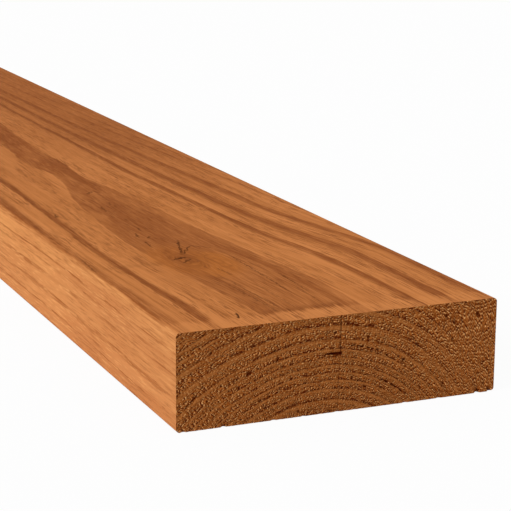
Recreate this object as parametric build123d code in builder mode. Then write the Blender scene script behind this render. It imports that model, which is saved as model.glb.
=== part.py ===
# Treated softwood plank: nominal 2 x 6 in stock, 8 ft long, planed on four sides and sawn square at both ends.
# Millimetres. +X runs along the grain, +Y across the width and +Z up from the underside.
# The origin is the centre of the underside, the face that the plank lies on.

import os

from build123d import *

# Driving dimensions
plank_length = 2438.4  # 8 ft
plank_width = 139.7  # 5 1/2 in
plank_thickness = 39.7  # 1 9/16 in, two-inch stock still swollen from treatment
edge_radius = 1.6  # easing that the planer leaves on the four long edges

# The plank is one sawn piece: its section stands on the far end and runs the whole length
with BuildPart() as plank:
    with BuildSketch(Plane.YZ.offset(-plank_length / 2)):
        Rectangle(plank_width, plank_thickness, align=(Align.CENTER, Align.MIN))
    extrude(amount=plank_length)
    fillet(plank.edges().filter_by(Axis.X), radius=edge_radius)

plank.part.label = "plank"
os.makedirs("parts", exist_ok=True)
export_step(plank.part, "parts/plank.step")
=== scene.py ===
# %% [markdown]
# A treated softwood plank, nominal 2 x 6 in, lies flat with one sawn end towards the camera.
# Timber is one piece of stock, so nearly everything that the eye reads on it is a cut through a tree:
# long figure on the planed faces, arcs on the sawn ends. This lesson therefore describes the tree first,
# as a distance from its heart, and then lets the mesh and both finishes read that one description.
# Lengths are in mm until the finished mesh is scaled to metres.

from math import radians

import bmesh
import bpy
import numpy as np
from mathutils import Euler, Matrix, Vector, noise


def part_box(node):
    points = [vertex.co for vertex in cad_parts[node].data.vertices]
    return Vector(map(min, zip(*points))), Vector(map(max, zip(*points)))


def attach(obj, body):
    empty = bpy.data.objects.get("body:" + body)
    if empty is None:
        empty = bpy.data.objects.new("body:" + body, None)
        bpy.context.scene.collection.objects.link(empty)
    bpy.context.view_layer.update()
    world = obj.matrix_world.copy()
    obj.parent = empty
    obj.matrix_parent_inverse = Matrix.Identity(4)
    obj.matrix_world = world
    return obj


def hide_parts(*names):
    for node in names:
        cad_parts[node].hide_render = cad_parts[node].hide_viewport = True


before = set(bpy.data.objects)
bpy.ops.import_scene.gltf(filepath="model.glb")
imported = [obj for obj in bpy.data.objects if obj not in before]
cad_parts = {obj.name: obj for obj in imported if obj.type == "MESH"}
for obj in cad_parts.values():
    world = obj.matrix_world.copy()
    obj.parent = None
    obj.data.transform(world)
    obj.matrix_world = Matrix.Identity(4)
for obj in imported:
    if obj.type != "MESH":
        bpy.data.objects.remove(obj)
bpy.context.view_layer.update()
mm_per_m = 1000
low, high = (Vector(corner) * mm_per_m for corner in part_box("plank"))
length, width, thickness = high - low
near_end = high.x
print("plank in mm:", [round(side, 1) for side in (length, width, thickness)])

# %% [markdown]
# A shader graph is easier to read as arithmetic than as a web of boxes. One small class wraps the output
# of a node; adding or multiplying two of them adds the Math node. Because the operators are Python's own,
# a formula written once can also be given numpy arrays, and the mesh can then be carved by the same
# formula that colours it.


# %% Shader arithmetic
class Wire:
    """The output of a shader node. Arithmetic on wires adds Math nodes."""

    def __init__(self, socket):
        self.socket = socket

    @classmethod
    def node(cls, tree, kind, settings, inputs, output=0):
        """Adds a node, sets it up, feeds its sockets and returns one of its outputs."""
        made = tree.nodes.new(kind)
        for name, value in settings.items():
            setattr(made, name, value)
        for key, value in inputs.items():
            if isinstance(value, cls):
                tree.links.new(value.socket, made.inputs[key])
            else:
                made.inputs[key].default_value = value
        return cls(made.outputs[output])

    def also(self, output):
        """Another output of the same node."""
        return Wire(self.socket.node.outputs[output])

    def maths(self, operation, *values):
        settings = {"operation": operation}
        return Wire.node(self.socket.id_data, "ShaderNodeMath", settings, dict(enumerate(values)))

    def __add__(self, other):
        return self.maths("ADD", self, other)

    def __radd__(self, other):
        return self.maths("ADD", other, self)

    def __sub__(self, other):
        return self.maths("SUBTRACT", self, other)

    def __rsub__(self, other):
        return self.maths("SUBTRACT", other, self)

    def __mul__(self, other):
        return self.maths("MULTIPLY", self, other)

    def __rmul__(self, other):
        return self.maths("MULTIPLY", other, self)

    def __truediv__(self, other):
        return self.maths("DIVIDE", self, other)

    def __rtruediv__(self, other):
        return self.maths("DIVIDE", other, self)

    def __abs__(self):
        return self.maths("ABSOLUTE", self)


# %% Functions that take wires or arrays
def root(value):
    return value.maths("SQRT", value) if isinstance(value, Wire) else np.sqrt(value)


def sine(value):
    return value.maths("SINE", value) if isinstance(value, Wire) else np.sin(value)


def larger(one, other):
    return one.maths("MAXIMUM", one, other) if isinstance(one, Wire) else np.maximum(one, other)


def smaller(one, other):
    return one.maths("MINIMUM", one, other) if isinstance(one, Wire) else np.minimum(one, other)


def whole(value):
    return value.maths("FLOOR", value) if isinstance(value, Wire) else np.floor(value)


def step(value, start, stop):
    """0 before start, 1 after stop, smooth between. start may lie above stop."""
    part = (value - start) / (stop - start)
    if isinstance(part, Wire):
        part.socket.node.use_clamp = True
    else:
        part = np.clip(part, 0, 1)
    return part * part * (3 - 2 * part)


# %% [markdown]
# The tree: its heart runs below the underside and wanders a little along the plank. Each year adds a ring
# of pale early wood that ends in a thin, dense, dark band. A flat cut that runs almost along a ring shows
# that band as a broad flame, and a cut across the rings shows it as a thin line, so the figure needs no
# drawing: it follows from the distance to the heart. Branches leave knots, and the grain flows round a knot
# as water flows round a post.

# %% The heart line
heart_aside, heart_below = 7.4, 44.75
heart_sideways = [(20, 165, 9.5), (290, 600, -6), (800, 1250, 10), (1350, 1900, -14), (1950, 2300, 7)]
heart_downward = [(120, 330, 2.4), (305, 350, -0.25), (560, 800, 4.3), (900, 1350, -7.5)]
heart_downward += [(1450, 1750, 3), (1900, 2350, 4)]
squeeze = [(230, 620, 12), (800, 1300, -12)]
late_bend = [(20, 100, -5), (95, 215, 10), (800, 1300, -5)]


def drift(s, moves):
    """Sum of smooth moves along the plank, each given as start, stop and amount in mm."""
    total = 0
    for start, stop, amount in moves:
        total = total + amount * step(s, start, stop)
    return total


def from_heart(x, y, z):
    """Distance from the near end, and sideways and upward distance from the heart line, in mm."""
    s = near_end - x
    sway = 0.2 + 0.8 * step(y, -62, -30)
    side = y + heart_aside + drift(s, heart_sideways) * sway
    side = side + drift(s, squeeze) * step(y, 2, 34) + drift(s, late_bend) * step(y, 15, 50)
    rise = z + heart_below + drift(s, heart_downward)
    return s, side, rise


print("heart:", heart_below, "mm below the underside, in", len(heart_sideways + heart_downward), "moves")

# %% Knots
# Each knot has its distance from the near end, its place across at the top face, and its radius.
knots = [(104.0, -10.5, 6.2), (985.0, 27.0, 8.0), (1540.0, -24.0, 7.0), (2105.0, 14.0, 9.5)]
top_face_radius = 85
knot_stretch = 5
knot_core = 0.6


def past_knots(s, side, rise):
    """Sideways distance once the grain has swung round the knots, and radii from the nearest knot."""
    spread = side / rise * top_face_radius
    swing = 0
    nearest = None
    for place, across, radius in knots:
        gap = spread - across
        reach = (s - place) * (s - place) / knot_stretch + gap * gap
        swing = swing + gap / (reach / radius**2 + knot_core)
        radii = root(reach) / radius
        nearest = radii if nearest is None else smaller(nearest, radii)
    return side - swing * rise / top_face_radius, nearest


print("knots:", len(knots))

# %% Rings
# Each strong ring has its radius, the depth of its dark band and how dark it is.
strong_rings = [(50.5, 1.2, 1.0), (64.5, 1.5, 1.0), (75.1, 1.2, 1.0), (80.7, 1.2, 1.0), (95.6, 2.3, 1.0)]
strong_rings += [(103.6, 4.6, 0.95), (113.2, 4.2, 0.9)]
flame_edge = 87.0
mean_ring = 4.09


def ring_radius(s, side, rise):
    """Distance from the heart, with rings that are flatter on one side and not quite even."""
    lean = 0.03 + 0.15 * step(s, 150, 550) + 0.1 * step(rise, 84, 66)
    lopsided = 0.98 * side + lean * (root(side * side + 400) - 20)
    wobble = 0.12 * sine(s / 31 + side / 9) + 0.12 * sine(side / 5.3 + rise / 4.1)
    wobble = wobble + 0.06 * sine(s / 13 - side / 3.7)
    return root(lopsided * lopsided + rise * rise) + wobble


def years(radius):
    """The number of rings within a radius. Dry years leave narrow rings, wet ones wide rings."""
    return radius / mean_ring + 0.555 * sine(radius / 6.06 + 2.1) + 0.12


def band(radius, edge, depth, onset=0.55, blur=0.12):
    """1 in a dark band that comes on over a share of its depth and stops sharply at its edge."""
    start = edge - depth
    return step(radius, start, start + onset * depth) * step(radius, edge + blur, edge - blur)


def late_wood(s, side, radius):
    """1 in the dark bands that close the years, 0 in early wood."""
    age = years(radius)
    year = whole(age)
    part = age - year
    flat_cut = step(abs(side), 55, 35) * step(radius, 82, 86)
    dark = (0.42 + 0.2 * sine(year * 2.4)) * step(part, 0.66, 0.88) * step(part, 1.0, 0.96)
    dark = dark * (1 - 0.75 * flat_cut)
    thin = 1 - 0.7 * step(side, -56, -62)
    for edge, depth, strength in strong_rings:
        dark = larger(dark, strength * band(radius, edge, depth * thin))
    flame_depth = 1.9 + 1.9 * step(s, 95, 140) * step(s, 800, 600)
    flame = 0.64 + 0.28 * step(s, 180, 290)
    return larger(dark, flame * band(radius, flame_edge, flame_depth * thin, 0.2, 0.04))


print("strong rings:", len(strong_rings) + 1)

# %% [markdown]
# The plank's mesh starts as a fine grid over the sawn end, because the roughest surface needs the most
# points. Its four corners are pressed into the planer's easing, and then its rim is extruded along the grain
# in steps that are short near the ends and long between them. A copy of the grid, with its faces turned
# outwards, closes the far end.

# %% Sawn end as a grid
cells_across, cells_up = 310, 88
easing = 1.6
plank_mesh = bmesh.new()
bmesh.ops.create_grid(plank_mesh, x_segments=cells_across, y_segments=cells_up, size=0.5)
stand_up = Matrix(((0, 0, 1, near_end), (width, 0, 0, 0), (0, thickness, 0, thickness / 2), (0, 0, 0, 1)))
bmesh.ops.transform(plank_mesh, matrix=stand_up, verts=plank_mesh.verts)
for vert in plank_mesh.verts:
    over_y = (abs(vert.co.y) - (width / 2 - easing)) / easing
    over_z = (abs(vert.co.z - thickness / 2) - (thickness / 2 - easing)) / easing
    if over_y > 0 and over_z > 0:
        round_y = over_y * (1 - over_z**2 / 2) ** 0.5
        round_z = over_z * (1 - over_y**2 / 2) ** 0.5
        vert.co.y += (round_y - over_y) * easing * (1 if vert.co.y > 0 else -1)
        vert.co.z += (round_z - over_z) * easing * (1 if vert.co.z > thickness / 2 else -1)
near_faces = list(plank_mesh.faces)
print("end grid faces:", len(near_faces))

# %% Long faces from the rim
rim = [edge for edge in plank_mesh.edges if edge.is_boundary]
for edge in rim:
    edge.smooth = False
# Shares of half the length, from an end to the middle.
half_steps = [0.4, 0.6, 0.8, 1.2, 2, 3, 5, 8, 14, 25, 45, 80, 120, 150, 170, 190, 200, 204.2]
strides = half_steps + half_steps[::-1]
strides = [stride * length / sum(strides) for stride in strides]
for stride in strides:
    grown = bmesh.ops.extrude_edge_only(plank_mesh, edges=rim)["geom"]
    new_verts = [part for part in grown if isinstance(part, bmesh.types.BMVert)]
    rim = [part for part in grown if isinstance(part, bmesh.types.BMEdge) and part.is_boundary]
    bmesh.ops.translate(plank_mesh, verts=new_verts, vec=(-stride, 0, 0))
for edge in rim:
    edge.smooth = False

# %% Far end
merge_within = 0.01
copied = bmesh.ops.duplicate(plank_mesh, geom=near_faces)["geom"]
far_faces = [part for part in copied if isinstance(part, bmesh.types.BMFace)]
far_verts = [part for part in copied if isinstance(part, bmesh.types.BMVert)]
bmesh.ops.translate(plank_mesh, verts=far_verts, vec=(-length, 0, 0))
bmesh.ops.remove_doubles(plank_mesh, verts=plank_mesh.verts, dist=merge_within)
bmesh.ops.recalc_face_normals(plank_mesh, faces=plank_mesh.faces)
open_edges = sum(edge.is_boundary for edge in plank_mesh.edges)
print("faces:", len(plank_mesh.faces), "open edges:", open_edges)

# %% [markdown]
# A saw leaves the end of a plank rough: it tears pits out of the soft early wood, and the hard bands stand
# proud and smoother. The relief is carved inwards only, so the plank keeps its length. The marks on this end
# are carved too: a drying check that runs down from the top face, a gap where two rings have parted, and
# short splits along rings. The depth of each point is kept as an attribute, so the finish can paint shade,
# along with dark stain, into the pits exactly where they are.


# %% Marks on the near end
gap_radius, upper_radius, lower_radius = 69.0, 72.7, 61.6


def end_marks(y, z, radius):
    """How open the wood is, from 0 to 1, at the check, the parted ring and the short splits."""
    check = 0.6 * step(abs(y + 0.5 + 0.12 * sine(z / 2.1)), 0.3, 0.1) * step(z, 23.0, 25)
    faint = 0.3 * step(abs(y + 1.5 - z / 30 + 0.15 * sine(z / 1.7)), 0.35, 0.1) * step(z, 26, 18)
    opening = 0.15 + 0.6 * step(y, -9, -1)
    gap = step(abs(radius - gap_radius - y / 40), opening, 0.5 * opening)
    gap = gap * step(y, -10, -6) * step(y, 0.5, -0.1)
    broken = step(sine(y * 2.9) + sine(y * 1.7), -0.6, 0.2)
    upper = 0.8 * broken * step(abs(radius - upper_radius), 0.34, 0.12) * step(y, 1.5, 5) * step(y, 20.5, 16)
    lower = 0.7 * broken * step(abs(radius - lower_radius), 0.5, 0.2) * step(y, 15, 19) * step(y, 31, 28)
    lines = larger(larger(check, faint), larger(gap, upper))
    return larger(lines, lower)


# %% Carve both ends
mean_radius = 75
deepest = 1.0
mark_depth = 0.9


def rough(points, scale, shift):
    """Noise from about -1 to 1 at each point."""
    return np.array([noise.noise(Vector(point * scale) + Vector(shift)) for point in points])


def inset(y, z):
    """Distance from the rim of the end in mm."""
    return np.minimum(width / 2 - abs(y), np.minimum(z, thickness - z))


def carve(side, rise, radius, late, seed):
    """Depth of torn fibre in mm at each point of an end."""
    around = np.arctan2(side, rise) * mean_radius
    points = np.stack((radius, around, np.full_like(radius, seed)), axis=1)
    fine = rough(points, (1.0, 0.65, 1), (0, 0, 0))
    patch = rough(points, (0.22, 0.07, 1), (0, 0, 5))
    torn = rough(points, (0.8, 0.55, 1), (0, 0, 9))
    part = years(radius) - np.floor(years(radius))
    hard = np.maximum(late, step(part, 0.55, 0.7) * step(part, 1.0, 0.94))
    pits = np.maximum(torn - 0.4 + 0.4 * patch + 0.1 * step(part, 0.35, 0.05), 0) * 1.6
    return np.clip(0.2 + (1 - 0.7 * hard) * (0.25 * fine + pits) - 0.1 * hard, 0, deepest)


depth_layer = plank_mesh.verts.layers.float.new("torn_depth")
for seed, faces, inward in ((1.7, near_faces, -1), (23.4, far_faces, 1)):
    verts = list({vert for face in faces if face.is_valid for vert in face.verts})
    verts.sort(key=lambda vert: vert.index)
    x, y, z = np.array([vert.co for vert in verts]).T
    s, side, rise = from_heart(x, y, z)
    radius = ring_radius(s, side, rise)
    depth = carve(side, rise, radius, late_wood(s, side, radius), seed)
    if inward < 0:
        depth = depth + mark_depth * end_marks(y, z, radius)
    depth = depth * (0.2 + 0.8 * step(inset(y, z), 0, 1.5))
    for vert, amount in zip(verts, depth):
        vert.co.x += inward * amount
        vert[depth_layer] = amount
    print("end carved to", round(float(depth.max()), 2), "mm, mean", round(float(depth.mean()), 2), "mm")

# %% [markdown]
# Where the saw leaves the wood it breaks small chips from the rim. They are pushed back from the end and
# a little way up, and their depth is kept so that the sawn finish paints shade into them. They show as dark
# nicks along a rim that stays straight.

# %% Chips along the lower rim
# Each chip has its place across and its depth.
chips = [(-67.0, 0.6), (-50.3, 0.8), (-29.3, 0.5), (-16.5, 0.4), (-1.8, 0.5)]
chips += [(28.5, 0.5), (44, 0.5), (62, 1.1), (68, 0.9)]
chip_reach = 3.0
chip_half_width = 1.3
wear = 0.12
for vert in plank_mesh.verts:
    s = near_end - vert.co.x
    if s > chip_reach or vert.co.z > chip_reach:
        continue
    loss = wear * (1 + noise.noise(Vector((vert.co.y / chip_half_width, 0, 4))))
    for place, depth in chips:
        loss = max(loss, depth * (1 - min(abs(vert.co.y - place) / chip_half_width, 1) ** 2))
    share = (1 - max(s, 0) / chip_reach) * (1 - vert.co.z / chip_reach)
    vert.co.x -= loss * share
    vert.co.z += 0.2 * loss * share
    # The chip's depth is kept with the torn depth, so the sawn finish paints shade into the chip.
    vert[depth_layer] = max(vert[depth_layer], 1.2 * loss * share if loss > 0.3 else 0)
print("chips:", len(chips))

# %% [markdown]
# The finish can be baked to one square picture through this unwrap. A plank is seventeen times as long
# as it is wide, so an even unwrap would waste that picture. Each long face gets one full-length strip,
# squeezed along the grain where little changes, and the two ends share a strip of their own.

# %% Unwrap in strips
plank_mesh.normal_update()
strips = {"top": (0.64, 0.355), "under": (0.385, 0.245), "left": (0.285, 0.09), "right": (0.185, 0.09)}
strip_margin = 0.002
strip_length = 0.996
end_margin, end_wide, end_high, far_end_start = 0.003, 0.49, 0.17, 0.504
ends = {face for face in near_faces + far_faces if face.is_valid}
unwrap = plank_mesh.loops.layers.uv.new("OFBake")
for face in plank_mesh.faces:
    face.smooth = True
    face.material_index = 1 if face in ends else 0
    lean = face.normal
    for loop in face.loops:
        along = (loop.vert.co.x - low.x) / length
        across = (loop.vert.co.y - low.y) / width
        up = loop.vert.co.z / thickness
        if face in ends:
            start = 0 if lean.x > 0 else far_end_start
            place = (end_margin + end_wide * across + start, end_margin + end_high * up)
        elif abs(lean.z) >= abs(lean.y):
            start, size = strips["top" if lean.z > 0 else "under"]
            place = (strip_margin + strip_length * along, start + size * across)
        else:
            start, size = strips["left" if lean.y < 0 else "right"]
            place = (strip_margin + strip_length * along, start + size * up)
        loop[unwrap].uv = place
print("faces on the two ends:", len(ends))

# %% From mm to metres
m_per_mm = 1 / mm_per_m
bmesh.ops.scale(plank_mesh, vec=(m_per_mm, m_per_mm, m_per_mm), verts=plank_mesh.verts)
plank_data = bpy.data.meshes.new("sawn_plank")
plank_mesh.to_mesh(plank_data)
plank_mesh.free()
plank = bpy.data.objects.new("sawn_plank", plank_data)
bpy.context.collection.objects.link(plank)
print("triangles:", sum(len(polygon.vertices) - 2 for polygon in plank_data.polygons))

# %% [markdown]
# Planed timber: the colour is an orange-brown stain soaked into pale wood, darker in the dense bands. Over
# the bands lie streaks, noise that is stretched along the grain. They read the sideways distance that has
# already swung round the knots, so they bend as fibres do.


# %% Helpers for the finishes
def new_finish(name):
    """A material with its Principled shader, and the Object coordinates in mm."""
    material = bpy.data.materials.new(name)
    material.use_nodes = True
    tree = material.node_tree
    shader = tree.nodes["Principled BSDF"]
    place = Wire.node(tree, "ShaderNodeTexCoord", {}, {}, "Object")
    inputs = {0: place, "Scale": float(mm_per_m)}
    in_mm = Wire.node(tree, "ShaderNodeVectorMath", {"operation": "SCALE"}, inputs)
    x = Wire.node(tree, "ShaderNodeSeparateXYZ", {}, {0: in_mm})
    return material, shader, x, x.also("Y"), x.also("Z")


def cloud(x, y, z, detail=2.0, roughness=0.5):
    """Noise from 0 to 1 whose cells are one unit across."""
    tree = x.socket.id_data
    place = Wire.node(tree, "ShaderNodeCombineXYZ", {}, {"X": x, "Y": y, "Z": z})
    inputs = {"Vector": place, "Scale": 1.0, "Detail": detail, "Roughness": roughness}
    return Wire.node(tree, "ShaderNodeTexNoise", {}, inputs)


def tint(factor, colour, other):
    """colour where factor is 0 and other where it is 1."""
    tree = factor.socket.id_data
    inputs = {0: factor, 6: colour, 7: other}
    return Wire.node(tree, "ShaderNodeMix", {"data_type": "RGBA", "clamp_factor": True}, inputs, 2)


def plug(wire, shader, name):
    """Links a wire to one of the shader's own sockets."""
    wire.socket.id_data.links.new(wire.socket, shader.inputs[name])


def raise_by(height, shader, distance):
    """Bumps the shader's normal by a height of about 0 to 1 times a distance in metres."""
    tree = height.socket.id_data
    inputs = {"Height": height, "Distance": distance, "Strength": 1.0}
    plug(Wire.node(tree, "ShaderNodeBump", {}, inputs), shader, "Normal")


# %% Planed finish: figure
pale = (0.69, 0.255, 0.075, 1)
honey = (0.56, 0.196, 0.053, 1)
dark_band = (0.315, 0.091, 0.0215, 1)
edge_yellow = (0.69, 0.302, 0.098, 1)
edge_pink = (0.57, 0.23, 0.085, 1)
knot_orange = (0.47, 0.142, 0.024, 1)
streak_brown = (0.2, 0.054, 0.012, 1)
crack_brown = (0.08, 0.02, 0.003, 1)
edge_red = (0.5, 0.175, 0.054, 1)
edge_light = (0.8, 0.37, 0.13, 1)

planed, shader, x, y, z = new_finish("planed_treated_softwood")
s, side, rise = from_heart(x, y, z)
flow, knot_radii = past_knots(s, side, rise)
ragged = cloud(s / 60, flow / 8, rise / 8, 3.0) - 0.5
jagged = cloud(s / 9, flow / 1.6, rise / 1.6, 2.0) - 0.5
teeth = cloud(s / 18, flow / 3, rise / 3, 2.0) - 0.5
uneven = 0.3 + 0.7 * step(abs(flow), 10, 40)
radius = ring_radius(s, flow, rise) + uneven * (0.7 * ragged + 0.6 * teeth + 0.5 * jagged)
late = late_wood(s, flow, radius)

# %% Planed finish: streaks
slow = cloud(s / 300, flow / 25, rise / 25, 2.0)
broad = cloud(s / 130, flow / 4.5, rise / 4.5, 3.0)
fibre = cloud(s / 30, flow / 0.9, rise / 0.9, 3.0, 0.6)
hair = cloud(s / 11, flow / 0.6, rise / 0.6, 2.0)
patchy = cloud(s / 60, flow / 12, rise / 12, 2.0)
mottle = cloud(s / 40, flow / 7, rise / 7, 3.0)
scratches = step(hair, 0.51, 0.63) * step(patchy, 0.36, 0.58)
flecks = step(hair, 0.46, 0.34) * step(patchy, 0.62, 0.4)
worms = step(cloud(s / 6, flow / 0.8, rise / 0.8 + 5, 1.0), 0.64, 0.7) * step(mottle, 0.42, 0.56) * late

# %% [markdown]
# The top face has marks of its own. As the knot dried, short cracks opened beside it, and hair-thin splits
# run from the end along the grain. Few of them follow a rule, so they are listed one by one as straight
# lines and then shaken by a fine noise. The last centimetre before the end dried out and is paler.

# %% Planed finish: cracks by the knot and near the end
# Each crack has its start and its stop, as distance from the near end and place across, and then its
# half width and its darkness.
splits = [
    (36, -4.4, 112, -3.2, 0.5, 0.6),
    (108, -30.5, 111.5, -22.5, 1.1, 0.85),
    (102, -27.5, 108, -21.5, 1.0, 0.75),
    (117, -22.5, 144, -14.2, 0.8, 0.8),
    (117, -22, 131.5, -13, 0.9, 0.85),
    (131.5, -13, 123, -5, 0.7, 0.6),
    (10, -39.8, 18.5, -37.8, 0.8, 1.0),
    (8, -21.2, 66, -23.6, 0.6, 0.45),
    (14, -18.7, 72, -20.8, 0.6, 0.45),
    (12, -12.4, 60, -12.4, 0.5, 0.35),
    (19, 0.5, 48, 1.3, 0.5, 0.4),
    (36, 2.8, 75, 4.2, 0.6, 0.5),
    (74, -15.5, 88, -17.6, 0.7, 0.5),
    (134, -30.4, 147, -29.4, 0.7, 0.7),
    (152, -26.4, 156, -23.2, 0.7, 0.6),
    (154, -29.6, 165, -27.4, 0.7, 0.6),
    (98, -68.4, 124, -67.2, 0.9, 0.45),
    (104, -66, 105, -34, 4.5, 0.13),
    (209, -51.6, 217, -50.6, 0.9, 0.6),
    (258, -21, 264, -16, 0.9, 0.6),
    (264, -16, 260, -13, 0.8, 0.5),
    (213, -25.3, 227, -24, 0.8, 0.55),
    (168, -24, 175, -22.6, 0.7, 0.45),
    (228, -18, 236, -16.6, 0.8, 0.45),
]


def split_line(s, y, start_s, start_y, stop_s, stop_y, half_width, darkness):
    """A thin line between two points of the top face, which fades at its ends."""
    run, drop = stop_s - start_s, stop_y - start_y
    squared = run * run + drop * drop
    part = ((s - start_s) * run + (y - start_y) * drop) / squared
    off = abs((s - start_s) * drop - (y - start_y) * run) / squared**0.5
    faded = darkness * step(off, half_width, 0.2 * half_width)
    return faded * step(part, -0.05, 0.2) * step(part, 1.05, 0.8)


jitter_s = s + 6 * (cloud(s / 4, y / 2, z / 3) - 0.5)
jitter_y = y + 2.4 * (cloud(s / 3, y / 1.5, z / 2 + 7) - 0.5)
cracks = split_line(jitter_s, jitter_y, *splits[0])
for split in splits[1:]:
    cracks = larger(cracks, split_line(jitter_s, jitter_y, *split))
upper_face = step(z, thickness - 3, thickness - 1)
cracks = cracks * upper_face
print("cracks and splits:", len(splits))

# %% Planed finish: the dry strip at the end
dried = s + 6 * (patchy - 0.5) + 12 * (fibre - 0.5)
strip = step(dried, 15, 9) * upper_face
stain = step(dried, 12, 14) * step(dried, 20, 15)
stain = stain * step(y, -30, -27) * step(y, 9, 2) * upper_face

# %% [markdown]
# Colour is laid on as a finisher would: first the ground of pale and honey wood, the narrow faces and the
# orange round the knot, and then the dark bands, the streaks and the cracks. The narrow faces are partly
# their
# own tone and partly painted light: yellower and lighter towards their top edge and far along, pinker and
# darker towards the floor and the near end. Each layer is a Mix node whose factor says where it shows.

# %% Planed finish: ground colour
beside = root((s - 100) * (s - 100) / 8 + (y + 12) * (y + 12))
halo = larger(step(knot_radii, 3.2, 1.6), step(beside, 11, 5) * upper_face)
late = late * (1 - 0.6 * strip) * (1 - 0.3 * halo)
inner = step(radius, 86.4, 85.6) * step(abs(flow), 24, 15) * (1 - strip) * (1 - 0.7 * halo)
edge_skin = step(abs(y), width / 2 - easing, width / 2 - 0.2)
lines = step(cloud(s / 45, rise / 4, flow / 30, 2.0), 0.38, 0.58)
shade = step(s, 130, 480) * step(s, 1100, 800) * (1 - edge_skin)
colour = tint(step(broad, 0.34, 0.66) * 0.8 + step(slow, 0.4, 0.7) * 0.4, pale, honey)
colour = tint(strip * 0.8, colour, pale)
# Painted light and shade: the narrow faces go yellower towards their top edge and far along, and pinker
# towards the floor and the near end, with a random drift.
rosy_shade_and_tone = step(s, 280, 0) * 0.35 + step(z, thickness, 0) * 0.55 + 1.2 * (slow - 0.5)
colour = tint(edge_skin * 0.75, colour, tint(rosy_shade_and_tone, edge_yellow, edge_pink))
flush = step(cloud(s / 110, flow / 14 + 3, rise / 14, 2.0), 0.46, 0.66)
colour = tint(edge_skin * flush * 0.5, colour, edge_red)
colour = tint(halo * 0.85, colour, knot_orange)

# %% Planed finish: bands, streaks and cracks
colour = tint(shade * (0.34 + 0.36 * step(y, 0, 45)), colour, dark_band)
colour = tint(inner * (0.35 + 0.4 * step(fibre, 0.4, 0.6)), colour, dark_band)
middle = step(abs(flow), 34, 26)
patches = 0.55 + (0.45 - 0.27 * middle) * step(fibre, 0.36, 0.58)
patches = patches + (0.25 + 0.2 * middle) * step(mottle, 0.38, 0.62)
colour = tint(late * patches * (1 - edge_skin * (0.75 - 0.65 * lines)), colour, dark_band)
colour = tint(late * shade * (1 - middle) * 0.4, colour, streak_brown)
hatch = 0.25 + 0.35 * step(patchy, 0.4, 0.6)
colour = tint(step(fibre, 0.48, 0.72) * hatch * (1 - 0.4 * edge_skin), colour, dark_band)
colour = tint(flecks * (0.35 + 0.2 * edge_skin), colour, tint(edge_skin, pale, edge_light))
colour = tint(scratches * 0.6 * (1 - 0.5 * edge_skin) + stain * 0.35, colour, streak_brown)
swirl = sine(15 * knot_radii + 9 * hair)
rings_beside = step(beside, 9, 4) * step(sine(2.6 * beside + 6 * hair), 0.3, 0.9)
colour = tint(rings_beside * 0.22 * upper_face, colour, streak_brown)
colour = tint(step(knot_radii, 1.3, 0.8) * (0.28 + 0.15 * swirl), colour, streak_brown)
colour = tint(worms * 0.5, colour, streak_brown)
colour = tint(cracks, colour, crack_brown)
plug(colour, shader, "Base Color")
plug(0.72 + 0.15 * fibre, shader, "Roughness")
shader.inputs["Specular IOR Level"].default_value = 0.02
planer_marks = 0.00012
raise_by(0.6 * fibre + 0.5 * hair, shader, planer_marks)
print("planed finish nodes:", len(planed.node_tree.nodes))

# %% [markdown]
# Sawn end grain drinks more stain than the faces, so the end is darker. Its colour follows the carved depth:
# pits hold dark stain and are darkened further with painted shade, and the torn tips of fibres are pale,
# partly as dry wood and partly as a painted highlight. The arcs are the same rings as on the planed faces.
# Grit finer than the mesh is noise, once for the pale tips and once, shifted a little, for a painted shadow
# on the dark side of each grain, as though the grain were lit from one side.

# %% Sawn finish: rings and grit
end_brown = (0.44, 0.128, 0.023, 1)
end_late = (0.43, 0.145, 0.034, 1)
end_line = (0.24, 0.056, 0.006, 1)
tip_pale_and_highlight = (1.0, 0.53, 0.2, 1)
pit_stain_and_shade = (0.085, 0.006, 0.0, 1)

sawn, shader, x, y, z = new_finish("sawn_treated_softwood")
s, side, rise = from_heart(x, y, z)
blotch = cloud(y / 9, z / 6, s / 9, 3.0)
stray = 1.2 * (blotch - 0.5)
radius = ring_radius(s, side, rise) + stray
late = late_wood(s, side, radius)
torn_depth = {"attribute_name": "torn_depth"}
depth = Wire.node(sawn.node_tree, "ShaderNodeAttribute", torn_depth, {}, "Fac")
around = side.maths("ARCTAN2", side, rise) * mean_radius
grain_deep, grain_wide = 0.55, 0.8
grit = cloud(radius / grain_deep, around / grain_wide, s / 2, 1.0)
# A shifted copy of the grit marks the side of each grain where a painted shadow goes.
grit_shade_side = cloud(radius / grain_deep - 0.65, around / grain_wide + 0.55, s / 2, 1.0)
crumbs = cloud(radius / 1.3, around / 2.0, s / 2, 2.0)
layers = cloud(radius / 0.75, around / 16, s / 9, 2.0)
age = years(radius)
part = age - whole(age)
plain = step(y + z, 45, 80)
hard = larger(0.7 * late, step(part, 0.62, 0.74) * step(part, 1.0, 0.95) * step(blotch, 0.68, 0.42))
hard = larger(hard, step(layers, 0.53, 0.66)) * (1 - 0.7 * plain)
soft = 1 - 0.78 * hard
porous = step(part, 0.35, 0.05) + step(layers, 0.48, 0.38)
rows = step(part, 0.26, 0.12) * step(part, 0.0, 0.05)
rows = rows * step(crumbs, 0.47, 0.57) * step(abs(around), 56, 28)

# %% Sawn finish: colour
colour = tint(hard, end_brown, end_late)
soaked = step(blotch, 0.35, 0.75) * 0.25 + step(crumbs, 0.45, 0.65) * 0.45 + 0.12 * plain
colour = tint(soaked, colour, end_line)
arcs = larger(step(part, 0.9, 0.97), step(layers, 0.42, 0.34))
colour = tint(arcs * 0.5 * (1 - plain), colour, end_line)
dry = 0.65 + 0.35 * step(crumbs, 0.58, 0.42)
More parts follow.
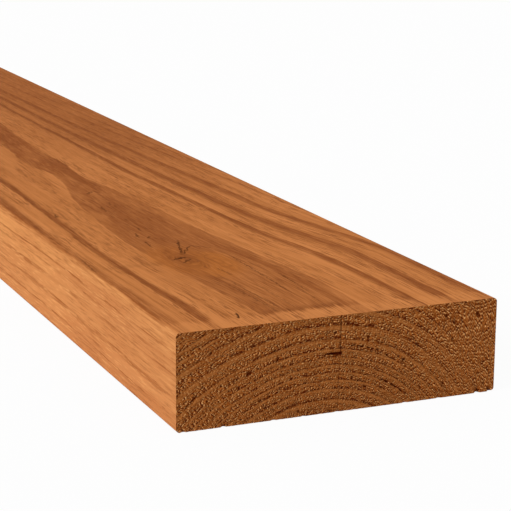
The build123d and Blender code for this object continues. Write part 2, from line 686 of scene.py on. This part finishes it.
# Painted light: the pale grit tips are a painted highlight, partly dry wood, and the shifted grit beside
# them is a painted shadow.
colour = tint(step(grit, 0.5, 0.68) * soft * dry, colour, tip_pale_and_highlight)
colour = tint(step(grit_shade_side + 0.04 * porous, 0.49, 0.63) * soft * 0.9, colour, pit_stain_and_shade)
# The rows of pits and all that is carved deep, pits, chips and the marks, are darkened: painted shade
# together with the dark stain held there.
colour = tint(rows * 0.8, colour, pit_stain_and_shade)
colour = tint(step(depth, 0.4, 0.75) * 0.7, colour, pit_stain_and_shade)
marks = end_marks(y, z, radius - stray) * step(x, 0, 1)
colour = tint(marks * 0.9, colour, pit_stain_and_shade)
plug(colour, shader, "Base Color")
shader.inputs["Roughness"].default_value = 0.85
shader.inputs["Specular IOR Level"].default_value = 0.01
grain_height = 0.0008
raise_by(grit * soft, shader, grain_height)
print("sawn finish nodes:", len(sawn.node_tree.nodes))

# %% [markdown]
# The plank has no joint, so it rides on the frame's one body. It stands for the frame's plain solid, which
# is hidden, and carries two finishes of its own: planed for the long faces and sawn for the two ends.

# %% Dress the plank
for finish in (planed, sawn):
    plank.data.materials.append(finish)
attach(plank, "root")
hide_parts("plank")
print("finishes:", [finish.name for finish in plank.data.materials])

# %% [markdown]
# The studio is plain: a pale floor, a bright sky all round and one broad lamp low on the left. The picture
# is on pure white, so the floor and the sky look white to the camera, while the floor still takes a faint
# shadow.


# %% What the camera sees directly
def seen_directly(tree):
    """1 for a ray from the camera, a reflection or a glass, 0 for a ray that lights the plank."""
    ray = Wire.node(tree, "ShaderNodeLightPath", {}, {}, "Is Camera Ray")
    return larger(larger(ray, ray.also("Is Glossy Ray")), ray.also("Is Transmission Ray"))


# %% Floor
floor_half_side = 30
floor_drop = 0.0002
floor_mesh = bmesh.new()
bmesh.ops.create_grid(floor_mesh, x_segments=1, y_segments=1, size=floor_half_side)
bmesh.ops.translate(floor_mesh, verts=floor_mesh.verts, vec=(0, 0, -floor_drop))
floor_data = bpy.data.meshes.new("floor")
floor_mesh.to_mesh(floor_data)
floor_mesh.free()
floor = bpy.data.objects.new("floor", floor_data)
bpy.context.collection.objects.link(floor)

floor_paint = bpy.data.materials.new("pale_floor")
floor_paint.use_nodes = True
tree = floor_paint.node_tree
tree.nodes.remove(tree.nodes["Principled BSDF"])
whiteness = 0.95
matt = Wire.node(tree, "ShaderNodeBsdfDiffuse", {}, {"Color": (0.85, 0.85, 0.85, 1)})
glow = Wire.node(tree, "ShaderNodeEmission", {}, {"Color": (1, 1, 1, 1), "Strength": 1.0})
mixed = Wire.node(tree, "ShaderNodeMixShader", {}, {0: whiteness * seen_directly(tree), 1: matt, 2: glow})
plug(mixed, tree.nodes["Material Output"], "Surface")
floor.data.materials.append(floor_paint)
print("floor half side in m:", floor_half_side)

# %% Sky and lamp
world = bpy.data.worlds.new("studio")
bpy.context.scene.world = world
world.use_nodes = True
tree = world.node_tree
sky_light = 0.5
plug(sky_light + (1 - sky_light) * seen_directly(tree), tree.nodes["Background"], "Strength")
tree.nodes["Background"].inputs["Color"].default_value = (1, 1, 1, 1)

lamp_data = bpy.data.lights.new("broad_lamp", "SUN")
lamp_data.energy = 1.95
lamp_data.angle = radians(25)
lamp = bpy.data.objects.new("broad_lamp", lamp_data)
towards_lamp = Vector((0.1, -0.5, 0.35))
lamp.rotation_euler = towards_lamp.to_track_quat("Z", "Y").to_euler()
bpy.context.collection.objects.link(lamp)
print("sky:", sky_light, "lamp:", lamp_data.energy)

# %% [markdown]
# The camera was found from the plank's own edges: its straight lines and square corners fix where the
# photograph was taken from, given the section. It stands to the left of the near end, and turns a little to
# the right along the plank.

# %% Camera
image_side = 511
focal_pixels = 1756.05
before_end, aside, above = 0.5938, -0.295, 0.2248
look_down, look_right, tilt = 13.70, 23.45, 0.404
camera_data = bpy.data.cameras.new("camera")
camera_data.sensor_width = 36
camera_data.lens = focal_pixels / image_side * camera_data.sensor_width
camera_data.clip_end = 100
camera = bpy.data.objects.new("camera", camera_data)
camera.location = (near_end / mm_per_m + before_end, aside, above)
turn = Euler((radians(90 - look_down), 0, radians(90 - look_right)))
turn.rotate_axis("Z", radians(tilt))
camera.rotation_euler = turn
bpy.context.collection.objects.link(camera)
bpy.context.scene.camera = camera
bpy.context.scene.view_settings.view_transform = "Standard"
print("lens in mm:", round(camera_data.lens, 2))
